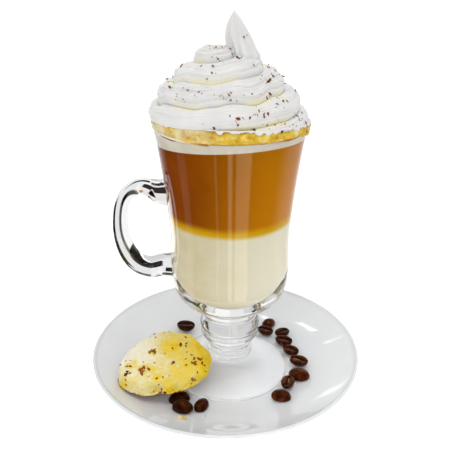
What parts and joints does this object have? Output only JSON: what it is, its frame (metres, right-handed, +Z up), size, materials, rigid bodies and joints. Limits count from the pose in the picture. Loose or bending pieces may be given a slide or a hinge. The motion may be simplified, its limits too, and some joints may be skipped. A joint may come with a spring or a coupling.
{
  "type": "cappuccino with cream",
  "caption": "Layered coffee in a stemmed glass with a handle, topped with piped cream and chocolate flakes, on a white saucer with a biscuit and coffee beans.",
  "frame": {"origin": "centre of the saucer on the surface that it stands on", "axes": "+Z up, -X towards the side of the handle, -Y towards the front that the picture shows"},
  "size_m": [0.1616, 0.1614, 0.2156],
  "materials": {
    "porcelain": "gloss",
    "glass": "polished",
    "milk": "gloss",
    "coffee": "gloss",
    "foam": "matte",
    "froth": "satin",
    "cream": "satin",
    "crust": "matte",
    "bean": "satin"
  },
  "bodies": {
    "root": {"saucer": "porcelain", "glass": "glass", "milk": "milk", "coffee": "coffee", "foam": "foam", "froth": "froth", "cream": "cream", "cookie": "crust", "bean_01": "bean", "bean_02": "bean", "bean_03": "bean", "bean_04": "bean", "bean_05": "bean", "bean_06": "bean", "bean_07": "bean", "bean_08": "bean", "bean_09": "bean", "bean_10": "bean", "bean_11": "bean", "bean_12": "bean", "bean_13": "bean"}
  },
  "joints": []
}
